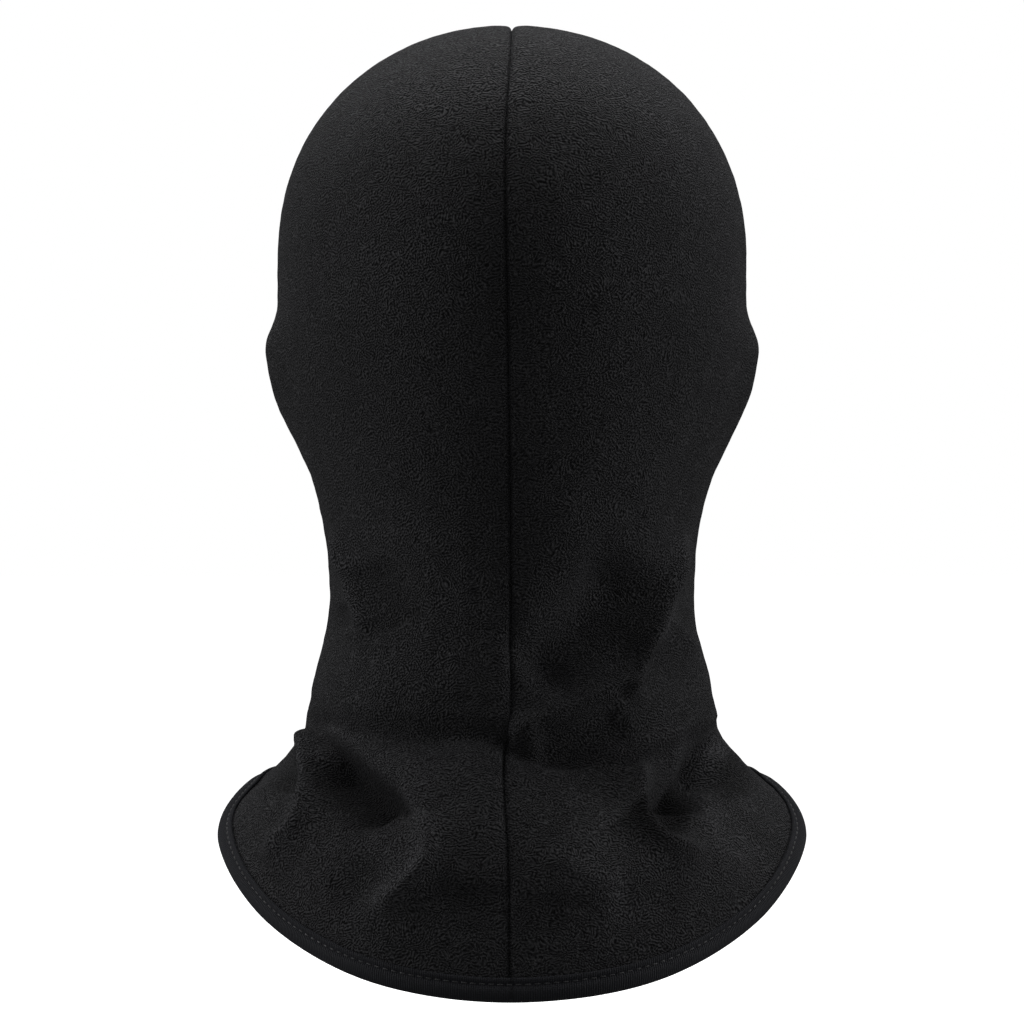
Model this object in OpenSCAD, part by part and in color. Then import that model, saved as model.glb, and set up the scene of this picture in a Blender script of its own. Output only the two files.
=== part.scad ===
// Fleece balaclava with one eye opening and a flared bib, as it sits on a head.
// Millimetres, +Z up, the face looks along -Y. The origin is the middle of the
// head cavity, just above the ear line.

/* [Hood] */
// Half of the width over the crown, outside the fleece
head_half_w = 81.3; // [78:0.2:86]
// Half of the depth from forehead to back of head
head_half_d = 98; // [94:1:102]
// Height of the crown
crown_z = 111.5; // [108:0.1:118]
// Height of the widest level of the head
temple_z = 31; // [28:1:34]
// How far the ears push the fleece out
ear_out = 5.7; // [3:0.1:7]
// How far the nose pushes the fleece out
nose_out = 13; // [8:1:15]

/* [Neck] */
// Height of the narrowest level
neck_z = -86; // [-90:1:-82]
// Half width at the narrowest level
neck_half_w = 63.2; // [60:0.2:66]
// Distance from the origin back to the nape
nape_y = 68; // [64:1:72]
// Height of the crease where the bib starts
crease_z = -129; // [-132:1:-126]
// Half width at the crease
crease_half_w = 71.2; // [69:0.2:74]
// Distance from the origin forward to the throat at the crease
throat_y = 66; // [62:1:70]

/* [Eye opening] */
// Width of the opening, straight across
eye_w = 128; // [116:1:134]
// Height of the opening
eye_h = 46; // [40:1:50]
// Height of its middle
eye_z = -3; // [-6:1:0]

/* [Fabric] */
// Thickness of the fleece
fleece = 2.4; // [2:0.1:2.8]
// Thickness of the knit tape of the bindings
tape = 1; // [0.8:0.1:1.2]
// Width of the folded hem binding
hem_tape_w = 7; // [6:0.5:9]
// Width of the folded eye binding
eye_tape_w = 8; // [7:0.5:9]
// Thickness of the flat elastic in the eye binding
elastic = 0.8; // [0.6:0.1:1]

/* [Threads and label] */
// Width of the overlock threads inside the seams
overlock_w = 4; // [3:0.5:5]
// Height of the overlock threads
overlock_h = 1.2; // [0.8:0.1:1.5]
// Thickness of a stitch line
stitch = 0.5; // [0.4:0.05:0.6]
// Width of the care label
label_w = 26; // [20:1:32]

/* [Hidden] */

// Hem, from the back centre round the shoulder to the front centre: x, y, z
hem_half = [
    [0, 109, -214.5], [47, 100.5, -208.5], [82, 71, -191.5], [99.5, 36, -168.5], [94, 6, -153],
    [82, -22, -152], [66, -58, -171], [37, -87, -197], [0, -97, -209],
];
hem_steps = len(hem_half) - 1;
hem_loop = concat(
    hem_half,
    [for (i = [hem_steps - 1 : -1 : 1]) [-hem_half[i].x, hem_half[i].y, hem_half[i].z]]
);

crown_mid_y = 8;       // middle of the crown, behind the origin
temple_mid_y = 1;      // middle of the widest level
neck_mid_y = -5;       // middle of the neck
crown_round = 2.2;     // exponent of the crown's outline
ear_top_z = 16;        // where the ears start to show
ear_full_z = [-2, -12];
ear_low_z = -50;
ear_y = 5;
ear_spread = 14;
nose_z = [-30, -54, -82];
nose_spread = 19;
chin_z = -98;
eye_power = 2.2;       // 2 is an ellipse, more is squarer
bib_out = [30, 16];    // how far the bib runs out from the crease, behind and in front
bib_side_out = 2;
bib_drop = 8;
bib_tuck = [3, 9];     // how far it leans out above the hem, at the centre and at the sides
bib_rise = [44, 4];    // height over which it turns to the hem's direction, likewise
hem_stitch_in = 4.4;   // from the edge to the stitches
eye_stitch_in = 5.6;
elastic_edge = 0.6;
elastic_margin = 1;
seam_clear = 1;        // room between the seams' threads and the eye tape
label_margin = 1.5;
label_sew_q = [0.01, 0.02];
gap = 0.3;             // room between layers that are sewn together
fine = 0.25;           // step for slopes, in degrees

crown_rows = 9;
brow_rows = 2;
eye_rows = 16;
face_rows = 10;
bib_rows = 8;
columns = 22;
back_columns = 12;
back_u = 100;

// Row numbers: 0 at the crown, 1 at the temples, 2 at the crease, 3 at the hem
eye_top_q = row_of(eye_z + eye_h / 2);
eye_low_q = row_of(eye_z - eye_h / 2);

function clamp01(t) = min(1, max(0, t));
function ease(a, b, t) = a + (b - a) * (1 - cos(180 * clamp01(t))) / 2;
function unit(v) = v / norm(v);
function mix(a, b, t) = a * (1 - t) + b * t;
function row_of(z) = 1 + (temple_z - z) / (temple_z - crease_z);

// Levels of the head and neck
function half_w(z) = z > neck_z
    ? ease(head_half_w, neck_half_w, (ear_top_z - z) / (ear_top_z - neck_z))
    : ease(neck_half_w, crease_half_w, (neck_z - z) / (neck_z - crease_z));
function back_y(z) = ease(temple_mid_y + head_half_d, nape_y, (temple_z - z) / (temple_z - neck_z));
function front_y(z) = ease(temple_mid_y - head_half_d, -throat_y, (chin_z - z) / (chin_z - crease_z));
function mid_y(z) = ease(temple_mid_y, neck_mid_y, (temple_z - z) / (temple_z - neck_z));
function ear(y, z) = ear_out * exp(-pow((y - ear_y) / ear_spread, 2) / 2)
    * ease(0, 1, (ear_top_z - z) / (ear_top_z - ear_full_z[0]))
    * ease(1, 0, (ear_full_z[1] - z) / (ear_full_z[1] - ear_low_z));
function nose(x, z) = nose_out * exp(-pow(x / nose_spread, 2) / 2)
    * ease(0, 1, (nose_z[0] - z) / (nose_z[0] - nose_z[1]))
    * ease(1, 0, (nose_z[1] - z) / (nose_z[1] - nose_z[2]));

// u is the angle round the head: 0 at the back, 90 over the left ear, 180 in front
function crown_point(u, q) =
    let (
        a = 90 * q,
        z = temple_z + (crown_z - temple_z) * pow(cos(a), 2 / crown_round),
        mid = ease(temple_mid_y, crown_mid_y, (z - temple_z) / (crown_z - temple_z))
    )
    [head_half_w * sin(a) * sin(u), mid + head_half_d * sin(a) * cos(u), z];

function head_point(u, z) =
    let (
        mid = mid_y(z),
        reach = cos(u) > 0 ? back_y(z) - mid : mid - front_y(z),
        x = half_w(z) * sin(u),
        y = mid + reach * cos(u)
    )
    [x + sign(x) * ear(y, z), cos(u) > 0 ? y : y - nose(x, z), z];

// Catmull-Rom curve through the closed hem loop
function hem_knot(i) = hem_loop[(i + len(hem_loop)) % len(hem_loop)];
function hem_point(u) =
    let (
        s = (u + 360) / 180 * hem_steps,
        i = floor(s),
        t = s - i,
        k = i % len(hem_loop),
        a = hem_knot(k - 1),
        b = hem_knot(k),
        c = hem_knot(k + 1),
        d = hem_knot(k + 2)
    )
    b + ((c - a) * t + (2 * a - 5 * b + 4 * c - d) * t * t + (3 * b - a - 3 * c + d) * t * t * t) / 2;

function bezier(a, b, c, d, t) =
    a * pow(1 - t, 3) + 3 * b * t * pow(1 - t, 2) + 3 * c * t * t * (1 - t) + d * pow(t, 3);

// The bib leaves the crease outwards at the back and front, and slides down over the shoulders
function bib_point(u, t) =
    let (
        start = head_point(u, crease_z),
        end = hem_point(u),
        side = pow(sin(u), 2),
        fore = cos(u) > 0 ? bib_out[0] : bib_out[1],
        out = [sin(u), cos(u), 0],
        leave = start + out * mix(fore, bib_side_out, side) - [0, 0, bib_drop],
        tuck = mix(bib_tuck[0], bib_tuck[1], side),
        arrive = end - out * tuck + [0, 0, mix(bib_rise[0], bib_rise[1], side)]
    )
    bezier(start, leave, arrive, end, t);

function skin(u, q) = q < 1 ? crown_point(u, q)
    : q < 2 ? head_point(u, temple_z + (q - 1) * (crease_z - temple_z))
    : bib_point(u, q - 2);

// Outward direction of the outer face
function outward(u, q) =
    let (
        across = skin(u + fine, q) - skin(u - fine, q),
        step = fine / 45,
        down = skin(u, min(3, q + step)) - skin(u, max(step, q - step))
    )
    unit(cross(across, down));

function layer(u, q, depth) = skin(u, q) - outward(u, q) * depth;

// Outline of the eye opening, or of a larger one with a margin all round; a is the angle
function eye_x(a, margin) = (eye_w / 2 + margin) * pow(abs(cos(a)), 2 / eye_power);
function eye_at(a, margin = 0) =
    eye_z + (eye_h / 2 + margin) * sign(sin(a)) * pow(abs(sin(a)), 2 / eye_power);
function eye_u(a, margin = 0) =
    180 - asin(min(1, eye_x(a, margin) / half_w(eye_at(a, margin)))) * (cos(a) < 0 ? -1 : 1);
function eye_edge(a, margin = 0) = skin(eye_u(a, margin), row_of(eye_at(a, margin)));

// Rows of a panel: row number, and the angle where its front edge lies
rows = concat(
    [for (i = [1 : crown_rows]) [i / crown_rows, 180]],
    [for (i = [1 : brow_rows - 1]) [1 + (eye_top_q - 1) * i / brow_rows, 180]],
    [for (i = [0 : eye_rows]) let (a = 90 - 180 * i / eye_rows) [row_of(eye_at(a)), eye_u(a)]],
    [for (i = [1 : face_rows]) [eye_low_q + (2 - eye_low_q) * i / face_rows, 180]],
    [for (i = [1 : bib_rows]) [2 + i / bib_rows, 180]]
);

// Columns keep their angle over the back and side, and share the rest up to the front edge
function column_u(j, edge) = j < back_columns
    ? back_u * j / back_columns
    : back_u + (edge - back_u) * (j - back_columns) / (columns - back_columns);

// Closed skin through rings of points that all have the same number of points
module loft(rings, closed) {
    n = len(rings[0]);
    m = len(rings);
    last = closed ? m - 1 : m - 2;
    sides = [
        for (i = [0 : last], j = [0 : n - 1])
            let (
                a = i * n + j,
                b = i * n + (j + 1) % n,
                c = ((i + 1) % m) * n + (j + 1) % n,
                d = ((i + 1) % m) * n + j
            )
            each [[a, b, c], [a, c, d]]
    ];
    ends = closed ? [] : [
        [for (j = [n - 1 : -1 : 0]) j],
        [for (j = [0 : n - 1]) (m - 1) * n + j],
    ];
    polyhedron([for (r = rings) each r], concat(sides, ends));
}

// One half of the hood and bib: an outer and an inner face, closed along every edge
module panel() {
    n = columns + 1;
    m = len(rows);
    outer = [for (r = rows, j = [0 : columns]) skin(column_u(j, r[1]), r[0])];
    inner = [for (r = rows, j = [0 : columns]) layer(column_u(j, r[1]), r[0], fleece)];
    top = [[0, crown_mid_y, crown_z], [0, crown_mid_y, crown_z - fleece]];
    o = 2;
    k = 2 + n * m;
    face = [
        for (i = [0 : m - 2], j = [0 : columns - 1])
            let (a = i * n + j, b = a + 1, c = b + n, d = a + n)
            each [
                [o + a, o + c, o + b], [o + a, o + d, o + c],
                [k + a, k + b, k + c], [k + a, k + c, k + d],
            ]
    ];
    cap = [for (j = [0 : columns - 1]) each [[0, o + j, o + j + 1], [1, k + j + 1, k + j]]];
    edge = [
        for (i = [0 : m - 2])
            let (a = i * n, b = a + n, c = a + columns, d = c + n)
            each [
                [o + a, k + b, o + b], [o + a, k + a, k + b],
                [o + c, o + d, k + d], [o + c, k + d, k + c],
            ]
    ];
    crown_edge = [
        [0, k, o], [0, 1, k],
        [0, o + columns, k + columns], [0, k + columns, 1],
    ];
    hem = [
        for (j = [0 : columns - 1])
            let (a = (m - 1) * n + j)
            each [[o + a, k + a + 1, o + a + 1], [o + a, k + a, k + a + 1]]
    ];
    polyhedron(concat(top, outer, inner), concat(face, cap, edge, crown_edge, hem));
}

// Outline of a folded tape round an edge, as distance from the edge and depth under the face
function fold(w, inside) = [
    [w, -gap], [w, -gap - tape], [-gap - tape, -gap - tape], [-gap - tape, inside + tape],
    [w, inside + tape], [w, inside], [-gap, inside], [-gap, -gap],
];
function strip(near, far, top, low) = [[far, top], [near, top], [near, low], [far, low]];

// Ring of points at the hem, from an outline in distance and depth
function hem_ring(u, outline) =
    let (
        edge = hem_point(u),
        out = outward(u, 3),
        up = unit(skin(u, 3 - 1 / bib_rows) - edge)
    )
    [for (p = outline) edge + up * p[0] - out * p[1]];

function eye_ring(a, outline) =
    let (
        edge = eye_edge(a),
        out = outward(eye_u(a), row_of(eye_at(a))),
        away = unit(eye_edge(a, eye_tape_w) - edge)
    )
    [for (p = outline) edge + away * p[0] - out * p[1]];

// The bindings turn where the panels' own rows and columns do
hem_angles = [for (j = [0 : 2 * columns - 1])
    j <= columns ? column_u(j, 180) : 360 - column_u(2 * columns - j, 180)];
eye_angles = [for (i = [0 : 2 * eye_rows - 1]) 90 + 180 * i / eye_rows];

module hem_loft(outline) {
    loft([for (u = hem_angles) hem_ring(u, outline)], true);
}

module eye_loft(outline) {
    loft([for (a = eye_angles) eye_ring(a, outline)], true);
}

// Flat strip inside the seam plane, along row numbers on the back or front line
function seam_ring(u, q, w, top, low) =
    let (
        face = q < 0.01 ? [0, crown_mid_y, crown_z] : skin(u, q),
        out = q < 0.01 ? [0, 0, 1] : outward(u, q),
        side = [w / 2, 0, 0]
    )
    [
        face - out * top - side, face - out * low - side,
        face - out * low + side, face - out * top + side,
    ];

overlock_top = fleece + gap;
overlock_low = overlock_top + overlock_h;
seam_end = 2.9;        // the seams' threads stop short of the hem binding
label_rows = [for (r = rows) if (r[0] > 2.45 && r[0] < seam_end) r[0]];
label_top = overlock_low + gap;
label_t = 0.35;

module left_panel() {
    color("#202022") panel();
}

module right_panel() {
    color("#1c1c1e") mirror([1, 0, 0]) panel();
}

module hem_binding() {
    color("#2b2b2f") hem_loft(fold(hem_tape_w, fleece + gap));
}

module hem_stitching() {
    near = hem_stitch_in;
    far = near + stitch;
    low = fleece + tape + 2 * gap;
    color("#0e0e10") {
        hem_loft(strip(near, far, -2 * gap - tape - stitch, -2 * gap - tape));
        hem_loft(strip(near, far, low, low + stitch));
    }
}

module eye_binding() {
    color("#2b2b2f") eye_loft(fold(eye_tape_w, fleece + elastic + 2 * gap));
}

module eye_elastic() {
    far = eye_tape_w - elastic_margin;
    color("#48484c") eye_loft(strip(elastic_edge, far, fleece + gap, fleece + gap + elastic));
}

module eye_stitching() {
    near = eye_stitch_in;
    far = near + stitch;
    low = fleece + elastic + tape + 3 * gap;
    color("#0e0e10") {
        eye_loft(strip(near, far, -2 * gap - tape - stitch, -2 * gap - tape));
        eye_loft(strip(near, far, low, low + stitch));
    }
}

module back_seam_thread() {
    start = row_of(eye_z + eye_h / 2 + eye_tape_w + seam_clear);
    front = concat([start], [for (i = [crown_rows : -1 : 1]) i / crown_rows]);
    back = concat([0], [for (r = rows) if (r[0] < seam_end) r[0]]);
    color("#141416") loft(concat(
        [for (q = front) seam_ring(180, q, overlock_w, overlock_top, overlock_low)],
        [for (q = back) seam_ring(0, q, overlock_w, overlock_top, overlock_low)]
    ), false);
}

module front_seam_thread() {
    start = row_of(eye_z - eye_h / 2 - eye_tape_w - seam_clear);
    low_first = [for (i = [len(rows) - 1 : -1 : 0]) rows[i][0]];
    path = concat([for (q = low_first) if (q > start && q < seam_end) q], [start]);
    color("#141416") loft(
        [for (q = path) seam_ring(180, q, overlock_w, overlock_top, overlock_low)], false
    );
}

// Blank label, sewn over the seam inside the bib
module care_label() {
    color("#d9d9d4") loft(
        [for (q = label_rows) seam_ring(0, q, label_w, label_top, label_top + label_t)], false
    );
}

module label_stitching() {
    low = label_top + label_t + gap / 2;
    color("#bdbdb8") loft(
        [for (q = label_sew_q)
            seam_ring(0, label_rows[0] + q, label_w - 2 * label_margin, low, low + stitch)], false
    );
}

left_panel();
right_panel();
hem_binding();
hem_stitching();
eye_binding();
eye_elastic();
eye_stitching();
back_seam_thread();
front_seam_thread();
care_label();
label_stitching();
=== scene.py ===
"""Black fleece balaclava with a flared, bound bib, as it sits on a head.

Two fleece panels meet in a centre seam that runs from the brow over the crown and down the
back, and from the eye opening down the front. Knit tape is folded over the hem and round the
eye opening. Shapes are worked out in millimetres in the frame of the CAD model and written to
the meshes in metres. Angles round the head start at the back and pass over the left ear.
"""

import math

import bpy
import numpy as np
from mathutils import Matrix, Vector


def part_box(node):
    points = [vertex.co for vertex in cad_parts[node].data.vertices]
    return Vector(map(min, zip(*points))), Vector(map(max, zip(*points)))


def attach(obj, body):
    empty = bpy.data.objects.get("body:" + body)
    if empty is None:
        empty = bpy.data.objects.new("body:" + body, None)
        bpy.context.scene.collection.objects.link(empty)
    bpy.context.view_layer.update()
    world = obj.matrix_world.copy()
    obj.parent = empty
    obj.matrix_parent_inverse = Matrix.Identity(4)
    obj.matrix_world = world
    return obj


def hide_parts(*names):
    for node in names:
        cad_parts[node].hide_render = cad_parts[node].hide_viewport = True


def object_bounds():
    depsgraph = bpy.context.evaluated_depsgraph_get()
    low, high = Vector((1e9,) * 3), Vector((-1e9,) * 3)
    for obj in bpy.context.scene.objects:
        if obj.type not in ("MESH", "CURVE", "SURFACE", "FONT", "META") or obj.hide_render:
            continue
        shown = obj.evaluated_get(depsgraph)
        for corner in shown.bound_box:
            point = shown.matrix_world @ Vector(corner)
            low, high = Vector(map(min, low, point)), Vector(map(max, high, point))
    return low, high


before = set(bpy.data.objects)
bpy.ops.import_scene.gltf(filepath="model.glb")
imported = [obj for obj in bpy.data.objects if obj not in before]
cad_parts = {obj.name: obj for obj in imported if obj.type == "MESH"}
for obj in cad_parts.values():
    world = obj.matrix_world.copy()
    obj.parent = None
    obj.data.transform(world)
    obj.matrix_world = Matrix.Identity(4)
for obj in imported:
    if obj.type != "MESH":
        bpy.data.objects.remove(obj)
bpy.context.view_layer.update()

MM = 0.001

# ---------------------------------------------------------------- sizes, in millimetres

panel_low, panel_high = (np.array(c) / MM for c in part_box("left_panel"))
CROWN_Z = panel_high[2]
HEAD_HALF_W = 81.3
HEAD_HALF_D = 98.0
TEMPLE_Z = 31.0
EAR_OUT = 5.7
NOSE_OUT = 13.0
NECK_Z = -86.0
NECK_HALF_W = 63.2
NAPE_Y = 68.0
CREASE_Z = -129.0
CREASE_HALF_W = 71.2
THROAT_Y = 66.0
EYE_HALF_W = 64.0
EYE_HALF_H = 23.0
EYE_Z = -3.0
EYE_POWER = 2.2
FLEECE = 2.4
HEM_TAPE_W = 7.0
EYE_TAPE_W = 8.0

CROWN_MID_Y = 8.0
TEMPLE_MID_Y = 1.0
NECK_MID_Y = -5.0
CROWN_ROUND = 2.2
EAR_TOP_Z = 16.0
EAR_FULL_Z = (-2.0, -12.0)
EAR_LOW_Z = -50.0
EAR_Y = 5.0
EAR_SPREAD = 14.0
NOSE_Z = (-30.0, -54.0, -82.0)
NOSE_SPREAD = 19.0
CHIN_Z = -98.0
# Share of a row over which the crease is rounded off, and how that fades beside it
CREASE_BLEND = 0.11
CREASE_FADE = 0.07
# How the bib leaves the neck and comes to the hem, in the middle and at the shoulders
BIB_FORE = {"back": 30.0, "front": 16.0}
BIB_SIDE = 2.0
BIB_DROP = 8.0
BIB_TUCK = (3.0, 9.0)
BIB_RISE = (44.0, 4.0)

# Hem from the back centre round the left shoulder to the front centre
HEM_HALF = np.array([
    (0, 109, -214.5), (47, 100.5, -208.5), (82, 71, -191.5), (99.5, 36, -168.5), (94, 6, -153),
    (82, -22, -152), (66, -58, -171), (37, -87, -197), (0, -97, -209),
], float)
HEM_LOOP = np.concatenate([HEM_HALF, HEM_HALF[-2:0:-1] * (-1, 1, 1)])

# Camera: straight behind the head, far enough away for a long lens
CAMERA_Y = 1600.0
CAMERA_Z = -56.4
VIEW_WIDTH = 356.35

# The crease between neck and bib isn't level: angle in degrees, height of the crease
CREASE_LINE = [
    (-180, -129), (-120, -129), (-90, -129.5), (-72, -128.5), (-55, -132), (-39, -138),
    (-26, -141.5), (-15, -142.5), (-7, -139.5), (0, -134), (7, -131), (22, -131),
    (38, -130), (58, -128), (90, -129.5), (120, -129), (180, -129),
]


def ease(a, b, t):
    return a + (b - a) * (1 - np.cos(np.pi * np.clip(t, 0, 1))) / 2


def bell(x, width):
    return np.exp(-0.5 * (x / width) ** 2)


def crest(x, width):
    """A fold with a narrow back and long flanks."""
    return np.exp(-(np.sqrt(x**2 + 1.2) - 1.1) / width)


def spline(knots, closed=False, steps=24):
    """Points along a Catmull-Rom curve through the knots."""
    k = np.asarray(knots, float)
    ends = (k[-1], k[0], k[1]) if closed else (2 * k[0] - k[1], None, 2 * k[-1] - k[-2])
    ring = np.vstack([ends[0], k, k[:2]] if closed else [ends[0], k, ends[2]])
    t = np.arange(steps)[:, None] / steps
    out = []
    for a, b, c, d in zip(ring, ring[1:], ring[2:], ring[3:]):
        out.append(b + ((c - a) * t + (2 * a - 5 * b + 4 * c - d) * t**2
                        + (3 * b - a - 3 * c + d) * t**3) / 2)
    if not closed:
        out.append(k[-1:])
    return np.vstack(out)


_crease = spline(CREASE_LINE)


def crease_z(u):
    angle = (np.degrees(u) + 180) % 360 - 180
    return np.interp(angle, _crease[:, 0], _crease[:, 1])


# ---------------------------------------------------------------- the worn shape

def half_w(z):
    upper = ease(HEAD_HALF_W, NECK_HALF_W, (EAR_TOP_Z - z) / (EAR_TOP_Z - NECK_Z))
    lower = ease(NECK_HALF_W, CREASE_HALF_W, (NECK_Z - z) / (NECK_Z - CREASE_Z))
    return np.where(z > NECK_Z, upper, lower)


def head_point(u, z):
    """Hood and neck, without folds. u is the angle in radians, z the height."""
    mid = ease(TEMPLE_MID_Y, NECK_MID_Y, (TEMPLE_Z - z) / (TEMPLE_Z - NECK_Z))
    back = ease(TEMPLE_MID_Y + HEAD_HALF_D, NAPE_Y, (TEMPLE_Z - z) / (TEMPLE_Z - NECK_Z))
    front = ease(TEMPLE_MID_Y - HEAD_HALF_D, -THROAT_Y, (CHIN_Z - z) / (CHIN_Z - CREASE_Z))
    x = half_w(z) * np.sin(u)
    y = mid + np.where(np.cos(u) > 0, back - mid, mid - front) * np.cos(u)
    ear = (EAR_OUT * bell(y - EAR_Y, EAR_SPREAD)
           * ease(0, 1, (EAR_TOP_Z - z) / (EAR_TOP_Z - EAR_FULL_Z[0]))
           * ease(1, 0, (EAR_FULL_Z[1] - z) / (EAR_FULL_Z[1] - EAR_LOW_Z)))
    nose = (NOSE_OUT * bell(x, NOSE_SPREAD)
            * ease(0, 1, (NOSE_Z[0] - z) / (NOSE_Z[0] - NOSE_Z[1]))
            * ease(1, 0, (NOSE_Z[1] - z) / (NOSE_Z[1] - NOSE_Z[2])))
    return np.stack([x + np.sign(x) * ear, y - np.where(np.cos(u) > 0, 0, nose), z], -1)


def crown_point(u, q):
    a = np.pi / 2 * q
    rise = np.cos(a) ** (2 / CROWN_ROUND)
    mid = ease(TEMPLE_MID_Y, CROWN_MID_Y, rise)
    return np.stack([
        HEAD_HALF_W * np.sin(a) * np.sin(u),
        mid + HEAD_HALF_D * np.sin(a) * np.cos(u),
        TEMPLE_Z + (CROWN_Z - TEMPLE_Z) * rise,
    ], -1)


_hem = spline(HEM_LOOP, closed=True, steps=64)
_hem_u = np.linspace(0, 2 * np.pi, len(_hem), endpoint=False)


def hem_point(u):
    return np.stack([np.interp(u % (2 * np.pi), _hem_u, _hem[:, k], period=2 * np.pi)
                     for k in range(3)], -1)


def bib_point(u, t):
    """The bib, from the crease (t = 0) to the hem (t = 1)."""
    start = head_point(u, crease_z(u))
    end = hem_point(u)
    side = (np.sin(u) ** 2)[..., None]
    fore = np.where(np.cos(u) > 0, BIB_FORE["back"], BIB_FORE["front"])[..., None]
    out = np.stack([np.sin(u), np.cos(u), np.zeros_like(u)], -1)
    up = np.array([0, 0, 1.0])
    tuck = BIB_TUCK[0] * (1 - side) + BIB_TUCK[1] * side
    rise = BIB_RISE[0] * (1 - side) + BIB_RISE[1] * side
    leave = start + out * (fore * (1 - side) + BIB_SIDE * side) - up * BIB_DROP
    arrive = end - out * tuck + up * rise
    t = t[..., None]
    s = 1 - t
    return start * s**3 + 3 * leave * t * s**2 + 3 * arrive * t**2 * s + end * t**3


def sharp_skin(u, q):
    """The worn shape with a sharp crease. Row number q: 0 crown, 1 temples, 2 crease, 3 hem."""
    u, q = np.broadcast_arrays(np.asarray(u, float), np.asarray(q, float))
    crown = crown_point(u, np.clip(q, 0, 1))
    head = head_point(u, TEMPLE_Z + (np.clip(q, 1, 2) - 1) * (crease_z(u) - TEMPLE_Z))
    bib = bib_point(u, np.clip(q, 2, 3) - 2)
    pick = q[..., None]
    return np.where(pick < 1, crown, np.where(pick < 2, head, bib))


def skin(u, q):
    """The worn shape without folds, with the crease rounded off."""
    u, q = np.broadcast_arrays(np.asarray(u, float), np.asarray(q, float))
    reach = CREASE_BLEND * bell(q - 2, CREASE_FADE)
    total = 0
    for step in (-1, -0.5, 0, 0.5, 1):
        total = total + sharp_skin(u, np.clip(q + step * reach, 0, 3))
    return total / 5


def row_of(z, u):
    """Row number of a height on the hood or neck."""
    return 1 + (TEMPLE_Z - z) / (TEMPLE_Z - crease_z(u))


def normals(f, u, q):
    """Outward direction of a surface f(u, q)."""
    du = 0.004
    dq = 0.006 + 0.04 * bell(q - 2, 0.1)
    low = np.maximum(q, 0.03)
    across = f(u + du, low) - f(u - du, low)
    down = f(u, np.minimum(low + dq, 3)) - f(u, low - dq)
    n = np.cross(across, down)
    return n / np.maximum(np.linalg.norm(n, axis=-1, keepdims=True), 1e-9)


# ---------------------------------------------------------------- folds

# Each fold is a line on the cloth, as seen from straight behind (or in front): x and z in
# millimetres. Height is how far it stands out, or in when negative, and width its half breadth.
BACK_RIDGES = [
    # neck, left of the seam
    (6.0, 2.6, [(62, -58), (58, -70), (54, -82), (50, -93), (47, -101)]),
    (-2.5, 7.0, [(50, -72), (44, -86), (38, -100)]),
    (-2.0, 5.0, [(60, -88), (58, -98)]),
    # neck, right of the seam: the long slanting fold and the hollow above it
    (7.5, 2.8, [(-60, -60), (-55, -76), (-48, -93), (-43, -106), (-39, -116), (-35, -121)]),
    (-9.0, 8.0, [(-44, -68), (-34, -84), (-24, -97), (-13, -108), (-4, -117)]),
    (6.5, 5.0, [(-42, -111), (-28, -120), (-15, -126), (-6, -131), (1, -137)]),
    (3.0, 3.0, [(-49, -92), (-57, -99), (-64, -106)]),
    (-3.0, 6.0, [(-47, -103), (-54, -112), (-66, -121)]),
    (-3.0, 6.0, [(-38, -127), (-28, -131), (-17, -138), (-8, -140)]),
    # bib, left: upright fold at the side, hollow beside it, and the soft fold nearer the seam
    (8.0, 2.6, [(70, -128), (71, -140), (70.5, -156), (72, -165), (79, -172), (90, -178)]),
    (-9.0, 6.0, [(66, -140), (58, -149), (50, -156), (43, -164)]),
    (-4.5, 3.6, [(77, -137), (78, -146), (79, -155)]),
    (6.0, 4.4, [(33, -154), (29, -166), (28, -174), (33, -183), (42, -191), (56, -200)]),
    # bib, right: hollow with a curved rim
    (6.0, 3.0, [(-46, -143), (-44.5, -156), (-48, -166), (-56, -173), (-70, -176)]),
    (-11.0, 6.5, [(-72, -138), (-65, -146), (-60, -152), (-57, -160)]),
    (-5.0, 5.0, [(-60, -143), (-54, -150), (-54, -160), (-62, -166)]),
    # bright lip under the crease on the right
    (3.5, 4.0, [(-4, -143), (-14, -149), (-24, -149), (-39, -142), (-52, -136), (-66, -127)]),
    # low swells of the bib
    (2.4, 9.0, [(-10, -172), (-24, -182), (-42, -186)]),
    (-1.6, 9.0, [(-8, -198), (-28, -200), (-50, -192)]),
    (-1.2, 8.0, [(14, -184), (15, -194), (20, -202)]),
    (-1.8, 6.0, [(44, -178), (54, -188), (64, -192)]),
]
# Folds with one steep side: the cloth stands out on the left of the line's direction
BACK_STEPS = [
    (4.5, 11.0, [(32, -164), (36, -158), (43, -151), (52, -144), (60, -137), (70, -129)]),
    (4.5, 11.0, [(-75, -124), (-66, -134), (-57, -143), (-49, -151), (-46, -159)]),
]
FRONT_RIDGES = [
    (2.2, 5.0, [(-54, -62), (-44, -82), (-28, -98), (-10, -106)]),
    (2.0, 5.0, [(56, -58), (46, -78), (33, -94), (14, -104)]),
    (-2.4, 5.0, [(-56, -84), (-42, -104), (-22, -116)]),
    (-2.0, 5.5, [(57, -80), (44, -102), (27, -114)]),
    (2.4, 4.0, [(-52, -108), (-34, -122), (-12, -127)]),
    (3.4, 4.0, [(60, -134), (48, -148), (37, -166), (33, -182)]),
    (-3.4, 5.5, [(50, -134), (36, -150), (25, -168)]),
    (3.0, 4.5, [(-62, -136), (-52, -154), (-44, -172)]),
    (-3.0, 6.0, [(-50, -136), (-38, -154), (-30, -174)]),
    (2.0, 6.0, [(-12, -142), (-9, -166), (-12, -188)]),
    (1.6, 4.0, [(-40, -30), (-24, -44), (-19, -60)]),
    (1.6, 4.0, [(41, -29), (25, -43), (19, -58)]),
]
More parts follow.
